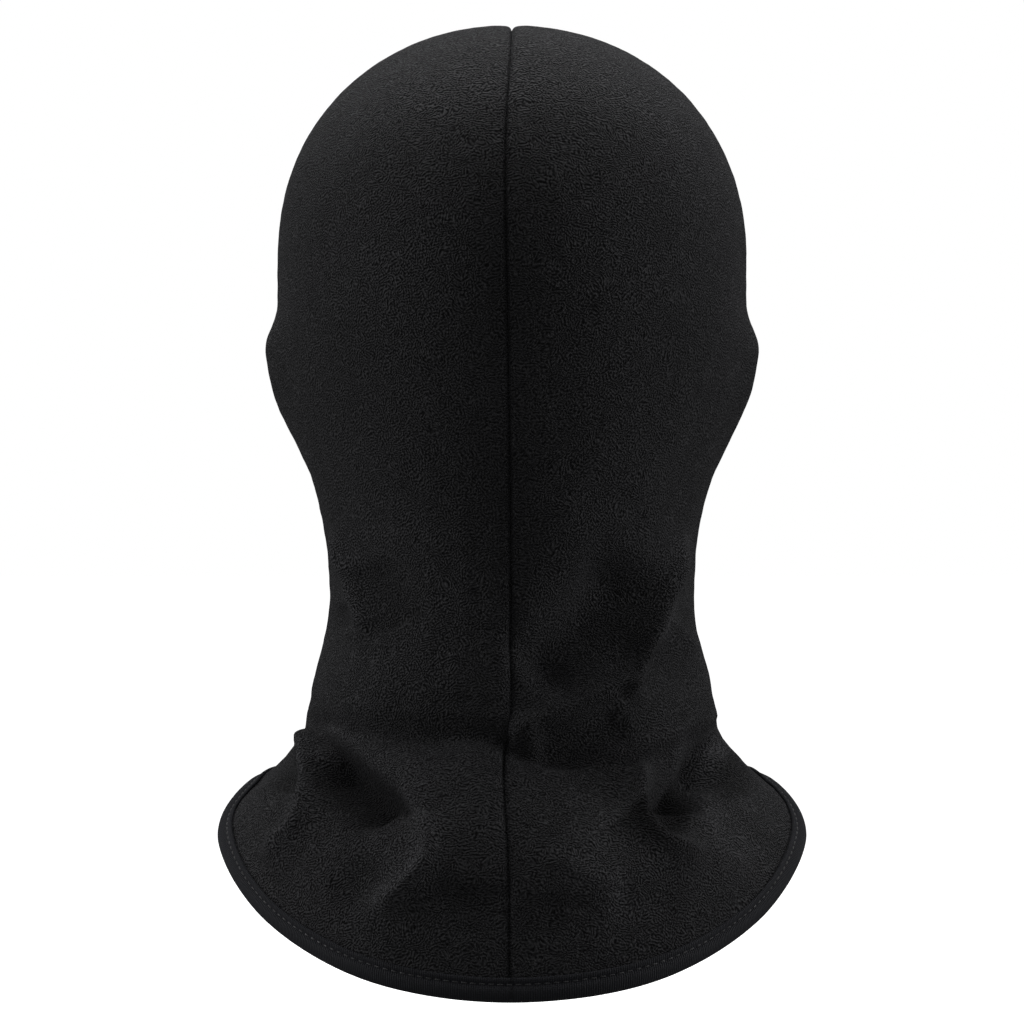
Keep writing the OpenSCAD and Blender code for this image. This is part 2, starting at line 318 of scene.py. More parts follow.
# Height of the soft roll that hangs over the crease: angle in degrees, millimetres
ROLL_LINE = [
    (-180, 2.5), (-140, 2.5), (-100, 0.6), (-80, 0.5), (-68, 1.5), (-45, 3), (-20, 3.5), (-6, 1.5),
    (4, 3), (20, 5.5), (50, 5.5), (70, 2), (80, 0.5), (100, 0.6), (140, 2.5), (180, 2.5),
]
# Height over the crease at which the roll stands out most, and the painted shade under it: how
# dark, where and how wide
ROLL_HEIGHT = 11.0
PAINTED_ROLL_SHADE = 2.2
PAINTED_ROLL_SHADE_AT = (3.0, 7.0)
# Folds lie below this height, fade towards the sides and taper over this share of their ends
FOLDS_TOP = -5.0
FOLD_FADE = (4.0, 24.0)
FOLD_TAPER = 0.22
STEP_EDGE = 1.2
# Pleats round the eye opening: how many, how high, and how fast they fade
GATHERS = 46
GATHER_HEIGHT = 0.4
GATHER_FADE = 2.6
# Waves of loose cloth: height, size and seed
LOOSE_WAVES = [(0.7, 34, 3), (0.22, 11, 5)]
FINE_WAVES = (0.07, 4.5, 9)
# Near the hem the cloth lies flat under the tape
FLAT_FROM_Q = 2.72
FLAT_OVER_Q = 0.2
FLAT_SHARE = 0.12


def seen(p, side):
    """Where points land in the view from behind (side = 1) or in front (side = -1)."""
    shrink = CAMERA_Y / (CAMERA_Y - side * p[..., 1])
    return np.stack([p[..., 0] * shrink, CAMERA_Z + (p[..., 2] - CAMERA_Z) * shrink], -1)


def nearest(points, line):
    """Signed distance to a line (positive on its left) and how far along it, from 0 to 1."""
    curve = spline(line, steps=8)
    best = np.full(len(points), 1e9)
    along = np.zeros(len(points))
    sign = np.ones(len(points))
    for k, (a, b) in enumerate(zip(curve, curve[1:])):
        d = b - a
        t = np.clip((points - a) @ d / (d @ d), 0, 1)
        off = points - a - t[:, None] * d
        dist = np.hypot(off[:, 0], off[:, 1])
        closer = dist < best
        best = np.where(closer, dist, best)
        along = np.where(closer, (k + t) / (len(curve) - 1), along)
        sign = np.where(closer, np.where(d[0] * off[:, 1] - d[1] * off[:, 0] < 0, -1, 1), sign)
    return best * sign, along


def taper(along):
    """Fades a fold out towards both its ends."""
    return ease(0, 1, along / FOLD_TAPER) * ease(0, 1, (1 - along) / FOLD_TAPER)


def fold_height(p, side, ridges, steps):
    """How far the folds of one side push the cloth outwards, at points p."""
    facing = ease(0, 1, (p[..., 1].ravel() * side - FOLD_FADE[0]) / FOLD_FADE[1])
    near = (facing > 0) & (p[..., 2].ravel() < FOLDS_TOP)
    flat = seen(p, side).reshape(-1, 2)[near]
    total = np.zeros(len(flat))
    for height, width, line in ridges:
        off, along = nearest(flat, line)
        shape = crest if height > 0 else bell
        total += height * shape(off, width) * taper(along)
    for height, width, line in steps:
        off, along = nearest(flat, line)
        edge = np.tanh(off / STEP_EDGE)
        total += height * edge * np.exp(-np.abs(off) / width) * taper(along)
    out = np.zeros(len(near))
    out[near] = total * facing[near]
    return out.reshape(p.shape[:-1])


def soft_noise(p, size, seed):
    """Smooth waves with no direction, from -1 to 1, about size millimetres across."""
    waves = np.random.default_rng(seed)
    total = np.zeros(p.shape[:-1])
    for _ in range(10):
        way = waves.normal(size=3)
        way /= np.linalg.norm(way)
        length = size * waves.uniform(0.8, 1.5)
        total += np.sin(p @ way * 2 * np.pi / length + waves.uniform(0, 6.3))
    return total / 5


_roll = spline(ROLL_LINE)


def eye_reach(x, z):
    """Below 1 inside the eye opening, 1 on its edge."""
    return (np.abs(x / EYE_HALF_W) ** EYE_POWER
            + np.abs((z - EYE_Z) / EYE_HALF_H) ** EYE_POWER) ** (1 / EYE_POWER)


def eye_gathers(p):
    """Small pleats that the elastic draws in the cloth round the eye opening."""
    reach = eye_reach(p[..., 0], p[..., 2])
    turn = np.arctan2((p[..., 2] - EYE_Z) / EYE_HALF_H, p[..., 0] / EYE_HALF_W)
    pleats = np.sin(GATHERS * turn + 1.5 * np.sin(5 * turn))
    fade = np.exp(-np.abs(reach - 1) * GATHER_FADE)
    return np.where(p[..., 1] < 0, GATHER_HEIGHT * pleats * fade, 0)


def folds(p):
    """The folds alone, at points p of the plain shape."""
    return fold_height(p, 1, BACK_RIDGES, BACK_STEPS) + fold_height(p, -1, FRONT_RIDGES, [])


def relief(u, q):
    """Everything that pushes the outer face away from the plain shape."""
    p = skin(u, q)
    high = p[..., 2]
    over = np.clip(high - crease_z(u), 0, None)
    angle = (np.degrees(u) + 180) % 360 - 180
    roll = np.interp(angle, _roll[:, 0], _roll[:, 1])
    h = roll * (over / ROLL_HEIGHT) * np.exp(1 - over / ROLL_HEIGHT) * (over > 0)
    h += folds(p)
    loose = ease(0.25, 1, (TEMPLE_Z - high) / (TEMPLE_Z - NECK_Z))
    for height, size, seed in LOOSE_WAVES:
        h += loose * height * soft_noise(p, size, seed)
    height, size, seed = FINE_WAVES
    h += height * soft_noise(p, size, seed)
    h += eye_gathers(p)
    return h * ease(1, FLAT_SHARE, (q - FLAT_FROM_Q) / FLAT_OVER_Q)


def cloth(u, q):
    """Outer face of the fleece, folds included, before the seam pulls it in."""
    u, q = np.broadcast_arrays(np.asarray(u, float), np.asarray(q, float))
    return skin(u, q) + normals(skin, u, q) * relief(u, q)[..., None]


# Seams: how far the halves overlap, then the depth and half breadth of the sharp groove and
# of the soft dip round it
SEAM_PRESS = -0.04
SEAM_DEPTH = 1.8
SEAM_SHARP = 0.62
SEAM_DIP = 0.35
SEAM_SOFT = 3.2
ALLOWANCE_W = 2.4
ALLOWANCE_H = 2.8
SEAM_NEAR = 16
# The back seam wanders a little to the left: height, shift
SEAM_WANDER = [
    (130, -0.4), (100, 0.4), (60, 2.2), (5, 1.4), (-50, 0.6), (-95, 0.2), (-120, 0.1),
    (-134, 1.9), (-145, 2.6), (-168, 1.3), (-200, 0.9), (-240, 0.8),
]
_wander = spline(SEAM_WANDER)[::-1]


def shift_seam(p):
    """Slides the cloth near the back seam sideways."""
    p = p.copy()
    near = bell(p[..., 0], SEAM_NEAR) * ease(0, 1, p[..., 1] / 30)
    p[..., 0] += near * np.interp(p[..., 2], _wander[:, 0], _wander[:, 1])
    return p


def seam_pull(x, p):
    """How deep the seam draws the face in, x millimetres from it."""
    pucker = 1 + 0.3 * np.sin(p[..., 2] * 0.9 + p[..., 1] * 0.7 + 2 * np.sin(p[..., 2] * 0.23))
    dip = SEAM_DIP * np.exp(-((x / SEAM_SOFT) ** 2))
    return SEAM_DEPTH * np.exp(-x / SEAM_SHARP) + dip * pucker


# ---------------------------------------------------------------- meshes

def make_mesh(name, verts, faces):
    mesh = bpy.data.meshes.new(name)
    mesh.from_pydata((np.asarray(verts) * MM).tolist(), [], [tuple(f) for f in faces])
    mesh.validate()
    mesh.update()
    mesh.polygons.foreach_set("use_smooth", [True] * len(mesh.polygons))
    piece = bpy.data.objects.new(name, mesh)
    bpy.context.scene.collection.objects.link(piece)
    return piece


def add_attribute(piece, name, values):
    layer = piece.data.attributes.new(name, "FLOAT", "POINT")
    layer.data.foreach_set("value", np.asarray(values, np.float32))


def grid_normals(face):
    """Outward direction at each point of a grid of rows down the left half."""
    n = np.cross(np.gradient(face, axis=1), np.gradient(face, axis=0))
    return n / np.maximum(np.linalg.norm(n, axis=-1, keepdims=True), 1e-9)


ROW_STEP = 1.45
COLUMN_STEP = 1.45
SEAM_COLUMNS = np.array([0, 0.3, 0.65, 1.05, 1.55, 2.2, 3.1, 4.2])
HALF_GIRTH = 284.0


def panel_grid():
    """Angles and row numbers of a panel's grid, from the back seam to the front seam."""
    crown = np.arange(1, int(128 / ROW_STEP) + 1) / int(128 / ROW_STEP)
    head = 1 + np.arange(1, int(160 / ROW_STEP) + 1) / int(160 / ROW_STEP)
    bib = 2 + np.arange(1, int(92 / ROW_STEP) + 1) / int(92 / ROW_STEP)
    q = np.concatenate([crown, head, bib])
    girth = np.where(q < 1, HALF_GIRTH * np.sin(np.pi / 2 * np.minimum(q, 1)), HALF_GIRTH)
    girth = np.where(q > 1, np.interp(q, [1, 1.75, 2, 2.5, 3], [284, 232, 228, 280, 330]), girth)
    middle = int((HALF_GIRTH - 2 * SEAM_COLUMNS[-1]) / COLUMN_STEP)
    rows = []
    for g in girth:
        near = SEAM_COLUMNS * min(1, g / 60)
        inner = np.linspace(near[-1], g - near[-1], middle + 1)[1:-1]
        rows.append(np.concatenate([near, inner, g - near[::-1]]) / g * np.pi)
    u = np.array(rows)
    return u, np.repeat(q[:, None], u.shape[1], 1)


def build_panel(name, side):
    """One half of the hood and bib. side is 1 for the left half and -1 for the right."""
    u, q = panel_grid()
    rows, cols = u.shape
    base = skin(u, q)
    front = (base[..., 1] < 0) & (q < 2)
    reach = np.where(front, eye_reach(base[..., 0], base[..., 2]), 9)
    middle = (reach[:-1, :-1] + reach[1:, :-1] + reach[:-1, 1:] + reach[1:, 1:]) / 4
    keep = middle > 1
    # Vertices of kept faces next to the opening move onto its outline
    used = np.zeros((rows, cols), bool)
    cut = np.zeros((rows, cols), bool)
    for di in (0, 1):
        for dj in (0, 1):
            used[di:rows - 1 + di, dj:cols - 1 + dj] |= keep
            cut[di:rows - 1 + di, dj:cols - 1 + dj] |= ~keep
    rim = used & cut
    scale = 1 / reach[rim]
    x = base[..., 0][rim] * scale
    z = EYE_Z + (base[..., 2][rim] - EYE_Z) * scale
    u[rim] = np.pi - np.arcsin(np.clip(x / half_w(z), -1, 1))
    q[rim] = row_of(z, u[rim])

    face = cloth(u * side, q)
    out = grid_normals(face) * side
    from_seam = np.abs(face[..., 0])
    outer = face - out * seam_pull(from_seam, face)[..., None]
    bound = ease(1, 0, (q - 2.86) / 0.06) * ease(0, 1, (reach - 1.1) / 0.15)
    ridge = ease(0, 1, (ALLOWANCE_W + 1.0 - from_seam) / 1.0) * bound
    inner = face - out * (FLEECE + ALLOWANCE_H * ridge)[..., None]
    # The cut edges of the two halves lie against each other in the seam
    outer[:, [0, -1], 0] = side * SEAM_PRESS
    inner[:, [0, -1], 0] = side * SEAM_PRESS

    outer, inner = shift_seam(outer), shift_seam(inner)
    top = cloth(np.array([0.0]), np.array([0.02]))[0]
    top_out = [0, top[1], top[2] - SEAM_DEPTH - 0.5]
    top_in = [0, top[1], top[2] - FLEECE - ALLOWANCE_H]
    verts = [top_out, top_in]
    index = -np.ones((2, rows, cols), int)
    for layer, grid in enumerate((outer, inner)):
        index[layer][used] = len(verts) + np.arange(used.sum())
        verts.extend(grid[used].tolist())
    o, k = index
    quads = []
    a, b, c, d = o[:-1, :-1], o[:-1, 1:], o[1:, 1:], o[1:, :-1]
    quads.append(np.stack([a, d, c, b], -1)[keep])
    a, b, c, d = k[:-1, :-1], k[:-1, 1:], k[1:, 1:], k[1:, :-1]
    quads.append(np.stack([a, b, c, d], -1)[keep])
    faces = [tuple(f) for f in np.vstack(quads).tolist()]
    faces += [(0, o[0, j], o[0, j + 1]) for j in range(cols - 1)]
    faces += [(1, k[0, j + 1], k[0, j]) for j in range(cols - 1)]
    # Close every open edge between the two faces
    edge_use = {}
    for f in faces:
        for s, e in zip(f, f[1:] + f[:1]):
            edge_use[(s, e)] = True
    partner = {0: 1}
    partner.update(dict(zip(o[used].tolist(), k[used].tolist())))
    outer_set = set(partner)
    for s, e in list(edge_use):
        if (e, s) not in edge_use and s in outer_set and e in outer_set:
            faces.append((e, s, partner[s], partner[e]))
    if side < 0:
        faces = [tuple(reversed(f)) for f in faces]
    piece = make_mesh(name, verts, faces)
    # Painted shade and highlight: the fold attribute darkens the fleece colour in the fold hollows
    # and under the overhanging roll, and lightens it on the backs of folds
    over = base[..., 2] - crease_z(u) - PAINTED_ROLL_SHADE_AT[0]
    painted_roll_shade = PAINTED_ROLL_SHADE * bell(over, PAINTED_ROLL_SHADE_AT[1]) * (base[..., 1] > 0)
    fold = (folds(base) - painted_roll_shade)[used]
    add_attribute(piece, "fold", np.concatenate([[0, 0], fold, fold]))
    return piece


# ---------------------------------------------------------------- bindings and threads

def loft(rings, closed):
    """Skin through rings of points with the same number of points, as vertices and faces."""
    rings = np.asarray(rings)
    m, n = rings.shape[:2]
    i = np.arange(m if closed else m - 1)[:, None]
    j = np.arange(n)[None, :]
    a, b = i * n + j, i * n + (j + 1) % n
    c, d = ((i + 1) % m) * n + (j + 1) % n, ((i + 1) % m) * n + j
    faces = np.stack([a, b, c, d], -1).reshape(-1, 4).tolist()
    if not closed:
        faces.append(list(range(n))[::-1])
        faces.append(list(range((m - 1) * n, m * n)))
    return rings.reshape(-1, 3), faces


def joined(parts):
    """Several sets of vertices and faces as one."""
    verts, faces, start = [], [], 0
    for v, f in parts:
        verts.append(v)
        faces += [[start + k for k in face] for face in f]
        start += len(v)
    return np.vstack(verts), faces


def unit(v):
    return v / np.maximum(np.linalg.norm(v, axis=-1, keepdims=True), 1e-9)


TAPE_STEP = 2.0
TAPE_STEPS = TAPE_STEP * np.arange(5)
# Length of one segment of the tapes and of the elastic
TAPE_PITCH = 1.3
ELASTIC_STEP = 2.0
# A stitch stands this far over the face and shows this share of its pitch
STITCH_OVER = 0.52
STITCH_SHARE = 0.74
STITCH_R = 0.2


def framed(rows):
    """Points of the cloth at each distance from an edge, and the outward directions there."""
    away = np.gradient(rows, axis=1)
    along = np.roll(rows, -1, 0) - np.roll(rows, 1, 0)
    return rows, unit(np.cross(away, along))


def hem_frame(u):
    """Cloth above the hem, and its outward directions."""
    edge = cloth(u, np.full_like(u, 3.0))
    reach = np.linalg.norm(cloth(u, np.full_like(u, 2.9)) - edge, axis=-1) / 0.1
    return framed(np.stack([shift_seam(cloth(u, 3 - d / reach)) for d in TAPE_STEPS], 1))


def eye_outline(a, margin=0.0):
    """Point of the cloth on the opening's outline, or a margin outside it, at outline angle a."""
    power = 2 / EYE_POWER
    x = (EYE_HALF_W + margin) * np.sign(np.cos(a)) * np.abs(np.cos(a)) ** power
    z = EYE_Z + (EYE_HALF_H + margin) * np.sign(np.sin(a)) * np.abs(np.sin(a)) ** power
    u = np.pi - np.arcsin(np.clip(x / half_w(z), -1, 1))
    return cloth(u, row_of(z, u))


def eye_frame(a):
    """Cloth round the eye opening, and its outward directions."""
    return framed(np.stack([eye_outline(a, d) for d in TAPE_STEPS], 1))


def placed(edge_frame, outline):
    """Rings of points from (distance from the edge, height over the face) along an edge."""
    rows, outs = edge_frame
    rings = []
    for distance, height in outline:
        k = min(max(int(distance // TAPE_STEP), 0), len(TAPE_STEPS) - 2)
        t = (distance - TAPE_STEPS[k]) / TAPE_STEP
        base = rows[:, k] * (1 - t) + rows[:, k + 1] * t
        out = unit(outs[:, k] * (1 - max(t, 0)) + outs[:, k + 1] * max(t, 0))
        rings.append(base + out * height)
    return np.stack(rings, 1)


def even_angles(curve, step):
    """Angles that cut a closed curve into equal lengths of about one step, and those lengths."""
    fine = np.linspace(0, 2 * np.pi, 2001)
    points = curve(fine)
    length = np.concatenate([[0], np.cumsum(np.linalg.norm(np.diff(points, axis=0), axis=1))])
    count = int(length[-1] / step)
    at = np.arange(count) * length[-1] / count
    return np.interp(at, length, fine), at


def tape_outline(width, stitch_at, inside):
    """Cross-section of a soft tape folded over an edge and sewn down through both its legs."""
    w, s = width, stitch_at
    face = [
        (w - 0.5, -0.15), (w - 0.1, 0.25), (w - 0.15, 0.75), (w - 0.5, 1.05), (w - 1.0, 1.1),
        (s + 0.6, 0.9), (s + 0.25, 0.6), (s, 0.5), (s - 0.25, 0.62), (s - 0.7, 1.0),
        (s - 1.4, 1.3), (s - 2.4, 1.42), (s - 3.3, 1.25), (0.3, 0.9),
    ]
    low = [(a, -inside - h) for a, h in reversed(face)]
    tip = [(-0.45, 0.35), (-0.95, -0.5), (-1.1, -inside / 2), (-0.95, -inside + 0.5),
           (-0.45, -inside - 0.35)]
    lining = [
        (w - 0.7, -inside + 0.05), (s, -inside + 0.2), (2.0, -inside - 0.1), (0.4, -inside),
        (-0.1, -inside / 2), (0.4, 0.0), (2.0, 0.1), (s, -0.2), (w - 0.7, -0.3),
    ]
    return face + tip + low + lining


def build_band(name, frame_at, curve, outline, step):
    """Closed band of one cross-section, which keeps the distances along and across it."""
    angles, at = even_angles(curve, step)
    piece = make_mesh(name, *loft(placed(frame_at(angles), outline), True))
    add_attribute(piece, "along", np.repeat(at, len(outline)))
    add_attribute(piece, "across", np.tile(np.array(outline)[:, 0], len(at)))
    return piece


def build_tape(name, frame_at, curve, width, stitch_at, inside):
    outline = tape_outline(width, stitch_at, inside)
    return build_band(name, frame_at, curve, outline, TAPE_PITCH)


def build_elastic(name):
    """Flat elastic inside the eye binding, against the inner face of the fleece."""
    flat = [
        (0.7, 0.3), (0.6, 0.7), (0.7, 1.05), (3.8, 1.1), (6.8, 1.05), (6.9, 0.7), (6.8, 0.3),
        (3.8, 0.27),
    ]
    outline = [(away, -FLEECE - depth) for away, depth in flat]
    return build_band(name, eye_frame, eye_outline, outline, ELASTIC_STEP)


def capsules(centre, along, out, length, sides=7):
    """Short rounded threads, each bowed outwards a little."""
    steps = np.linspace(-1, 1, 9)
    girth = STITCH_R * np.sqrt(1 - np.abs(steps) ** 6)
    girth[[0, -1]] = STITCH_R * 0.15
    side = unit(np.cross(along, out))
    turn = np.linspace(0, 2 * np.pi, sides, endpoint=False)
    parts = []
    for c, t, n, s in zip(centre, along, out, side):
        spine = c + t * steps[:, None] * length / 2 + n * (0.16 - 0.5 * steps[:, None] ** 4)
        ring = (s * np.cos(turn)[:, None] + n * np.sin(turn)[:, None])
        parts.append(loft(spine[:, None, :] + ring[None] * girth[:, None, None], False))
    return parts


def build_stitches(name, frame_at, curve, stitch_at, inside, pitch):
    """Lockstitch through both legs of a tape: one row outside and one row inside."""
    angles, at = even_angles(curve, pitch)
    places = placed(frame_at(angles), [(stitch_at, 0.0), (stitch_at, STITCH_OVER),
                                       (stitch_at, -inside - STITCH_OVER)])
    base, above, below = places[:, 0], places[:, 1], places[:, 2]
    along = unit(np.roll(base, -1, 0) - np.roll(base, 1, 0))
    out = unit(above - base)
    length = pitch * STITCH_SHARE
    parts = capsules(above, along, out, length)
    parts += capsules(below, along, -out, length)
    return make_mesh(name, *joined(parts))


def tube(path, sides=6):
    """Round thread along a path."""
    path = np.asarray(path)
    along = unit(np.gradient(path, axis=0))
    ref = np.tile([0.0, 0.0, 1.0], (len(path), 1))
    ref[np.abs(along[:, 2]) > 0.9] = [0, 1.0, 0]
    side = unit(np.cross(along, ref))
    for k in range(1, len(side)):
        side[k] = unit(side[k - 1] - along[k] * (side[k - 1] @ along[k]))
    other = np.cross(along, side)
    turn = np.linspace(0, 2 * np.pi, sides, endpoint=False)
    ring = (side[:, None] * np.cos(turn)[None, :, None]
            + other[:, None] * np.sin(turn)[None, :, None])
    return loft(path[:, None] + ring * THREAD_R, False)


THREAD_R = 0.22
OVERLOCK_PITCH = 2.6
OVERLOCK_HALF = 2.7


def inner_face(u, q, x, lift):
    """Point on the inner face of a seam, x millimetres beside it and lifted off the cloth."""
    face = cloth(np.full_like(q, u), q)
    out = normals(skin, np.full_like(q, u), q)
    ridge = ease(0, 1, (ALLOWANCE_W + 1.0 - np.abs(x)) / 1.0)
    depth = FLEECE + ALLOWANCE_H * ridge + lift
    return shift_seam(face + np.stack([x, 0 * x, 0 * x], -1) - out * depth[:, None])


def overlock(u_front, u_back, q_front, q_back):
    """Threads of an overlock seam along one or two stretches of centre line."""
    def line(sample):
        """Row numbers and angles of evenly spaced places along the seam."""
        parts = []
        for u, span in ((u_front, q_front), (u_back, q_back)):
            if span is None:
                continue
            q = np.linspace(span[0], span[1], 400)
            p = cloth(np.full_like(q, u), q)
            d = np.concatenate([[0], np.cumsum(np.linalg.norm(np.diff(p, axis=0), axis=1))])
            parts.append((u, np.interp(np.arange(0, d[-1], sample), d, q)))
        return parts

    def thread(offset, lift, sample, wave=None):
        points, count = [], 0
        for u, q in line(sample):
            k = np.arange(len(q)) + count
            x = offset + (0 if wave is None else wave(k * sample))
            x = np.broadcast_to(x, q.shape).astype(float)
            points.append(inner_face(u, q, x, lift))
            count += len(q)
        return tube(np.vstack(points))

    def zigzag(phase):
        def wave(s):
            t = (s / OVERLOCK_PITCH + phase) % 1
            return OVERLOCK_HALF * (4 * np.abs(t - 0.5) - 1)
        return wave

    parts = [thread(0.0, 0.3, OVERLOCK_PITCH / 6, zigzag(p)) for p in (0, 0.5)]
    parts += [thread(x, 0.45, 1.2) for x in (-1.1, 1.1)]
    return parts


LABEL_HALF_W = 13.0
LABEL_Q = (2.5, 2.875)
LABEL_GIRTH = 110.0
LABEL_T = 0.3
LABEL_STITCH = 1.9


def label_point(s, t, thickness=0.0):
    """Point of the care label: s from -1 to 1 across it, t from 0 to 1 down it."""
    q = LABEL_Q[0] + (LABEL_Q[1] - LABEL_Q[0]) * t
    x = LABEL_HALF_W * s
    face = cloth(x / LABEL_GIRTH, q)
    out = normals(skin, x / LABEL_GIRTH, q)
    arch = 3.3 + 2.7 * bell(x, 5.5)
    curl = 1.6 * t**2 * np.abs(s) ** 3 + 0.5 * t * np.sin(3.1 * s + 0.6) + 0.9 * t**3
    return shift_seam(face) - out * (arch + curl + thickness)[..., None]


def build_label(name):
    s, t = np.meshgrid(np.linspace(-1, 1, 41), np.linspace(0, 1, 49))
    near, far = label_point(s, t), label_point(s, t, LABEL_T)
    rows, cols = s.shape
    k = np.arange(rows * cols).reshape(rows, cols)
    m = k + rows * cols
    faces = np.stack([k[:-1, :-1], k[:-1, 1:], k[1:, 1:], k[1:, :-1]], -1).reshape(-1, 4).tolist()
    faces += np.stack([m[:-1, :-1], m[1:, :-1], m[1:, 1:], m[:-1, 1:]], -1).reshape(-1, 4).tolist()
    rim = k[0, :].tolist() + k[1:, -1].tolist() + k[-1, -2::-1].tolist() + k[-2:0:-1, 0].tolist()
    for a, b in zip(rim, rim[1:] + rim[:1]):
        faces.append([a, a + rows * cols, b + rows * cols, b])
    return make_mesh(name, np.vstack([near.reshape(-1, 3), far.reshape(-1, 3)]), faces)


def build_label_stitches(name):
    s = np.linspace(-0.9, 0.9, 10)
    t = np.full_like(s, 0.045)
    centre = label_point(s, t, 0.42)
    along = unit(label_point(s + 0.02, t) - label_point(s - 0.02, t))
    down = unit(label_point(s, t + 0.02) - label_point(s, t - 0.02))
    inward = unit(np.cross(down, along))
    inward *= np.sign(np.sum(inward * (label_point(s, t, 1.0) - label_point(s, t)), -1))[:, None]
    return make_mesh(name, *joined(capsules(centre, along, inward, LABEL_STITCH)))


# ---------------------------------------------------------------- materials

# Darkest and lightest colour of each material
# The fleece's lightest colour is a painted highlight on the curls of pile, its darkest a painted
# shade in the pits between them
FLEECE_COLOURS = (0.003, 0.003, 0.0033), (0.034, 0.034, 0.0362)
TAPE_COLOURS = (0.005, 0.005, 0.0062), (0.017, 0.0178, 0.022)
THREAD_COLOURS = (0.006, 0.006, 0.007), (0.03, 0.03, 0.034)
ELASTIC_COLOURS = (0.04, 0.04, 0.042), (0.11, 0.11, 0.115)
LABEL_COLOURS = (0.50, 0.49, 0.46), (0.74, 0.73, 0.70)
LABEL_THREAD_COLOURS = (0.35, 0.35, 0.33), (0.6, 0.6, 0.57)
# Distance between the tape's ribs and its loops, and between the elastic's ribs and picks
RIB_PITCH = 0.77
LOOP_PITCH = 0.55
ELASTIC_PITCHES = (1.1, 0.6)


def new_material(name):
    material = bpy.data.materials.new(name)
    material.use_nodes = True
    return material, material.node_tree, material.node_tree.nodes["Principled BSDF"]


def add_node(tree, kind, inputs=(), **settings):
    """New node. inputs maps socket names or numbers to values or to other nodes' sockets."""
    node = tree.nodes.new(kind)
    for key, value in settings.items():
        setattr(node, key, value)
    for key, value in dict(inputs).items():
        if isinstance(value, bpy.types.NodeSocket):
            tree.links.new(value, node.inputs[key])
        else:
            node.inputs[key].default_value = value
    return node


def calc(tree, operation, a, b=0.0, clamp=False):
    node = add_node(tree, "ShaderNodeMath", {0: a, 1: b}, operation=operation, use_clamp=clamp)
    return node.outputs[0]


def vector_calc(tree, operation, a, b):
    return add_node(tree, "ShaderNodeVectorMath", {0: a, 1: b}, operation=operation).outputs[0]


def noise(tree, where, scale, detail=2.0, roughness=0.5):
    return add_node(tree, "ShaderNodeTexNoise", {
        "Vector": where, "Scale": scale, "Detail": detail, "Roughness": roughness,
    })


def ramp(tree, value, low, high, to_low=0.0, to_high=1.0, smooth=True):
    node = add_node(tree, "ShaderNodeMapRange", {
        "Value": value, "From Min": low, "From Max": high, "To Min": to_low, "To Max": to_high,
    }, interpolation_type="SMOOTHSTEP" if smooth else "LINEAR")
    return node.outputs[0]


def tint(tree, value, dark, light):
    node = add_node(tree, "ShaderNodeMix", {"Factor": value, "A": (*dark, 1), "B": (*light, 1)},
                    data_type="RGBA")
    return node.outputs[2]


def fleece_material():
    """Polar fleece: short curly ridges of pile with a fine fuzz over them, near black."""
    material, tree, shader = new_material("fleece")
    place = add_node(tree, "ShaderNodeTexCoord").outputs["Object"]
    # Pile lies in different directions from place to place
    drift = noise(tree, place, 110, 2).outputs["Color"]
    bend = vector_calc(tree, "MULTIPLY", vector_calc(tree, "SUBTRACT", drift, (0.5, 0.5, 0.5)),
                       (0.005, 0.005, 0.005))
    bent = vector_calc(tree, "ADD", place, bend)
    curls = add_node(tree, "ShaderNodeTexGabor", {
        "Vector": bent, "Scale": 500.0, "Frequency": 2.1, "Anisotropy": 0.0,
    }, gabor_type="3D").outputs["Value"]
    pile = ramp(tree, curls, 0.28, 0.72)
    fuzz = noise(tree, place, 2200, 2.0, 0.6).outputs[0]
    height = calc(tree, "ADD", pile, calc(tree, "MULTIPLY", fuzz, 0.4))
    bump = add_node(tree, "ShaderNodeBump", {"Strength": 1.0, "Distance": 0.0009, "Height": height})
    # Painted highlight and shade of the pile: the colour is lighter on the curls and darker in the
    # pits between them; the patches are random tone
    patches = noise(tree, place, 22, 2).outputs[0]
    shade = calc(tree, "MULTIPLY", pile, ramp(tree, patches, 0.3, 0.7, 0.85, 1.1), clamp=True)
    # Painted shade and highlight: the colour is darkened in the fold hollows and under the roll,
    # and lightened on the backs of folds
    fold = add_node(tree, "ShaderNodeAttribute", attribute_name="fold").outputs["Fac"]
    painted_fold_shading = ramp(tree, fold, -7.0, 6.0, 0.25, 1.75)
    colour = tint(tree, shade, *FLEECE_COLOURS)
    tree.links.new(vector_calc(tree, "MULTIPLY", colour, painted_fold_shading), shader.inputs["Base Color"])
    tree.links.new(bump.outputs[0], shader.inputs["Normal"])
    tree.links.new(ramp(tree, pile, 0, 1, 0.95, 0.72), shader.inputs["Roughness"])
    shader.inputs["Specular IOR Level"].default_value = 0.12
    shader.inputs["Sheen Weight"].default_value = 0.25
    shader.inputs["Sheen Roughness"].default_value = 0.45
    shader.inputs["Sheen Tint"].default_value = (0.12, 0.12, 0.13, 1)
    return material


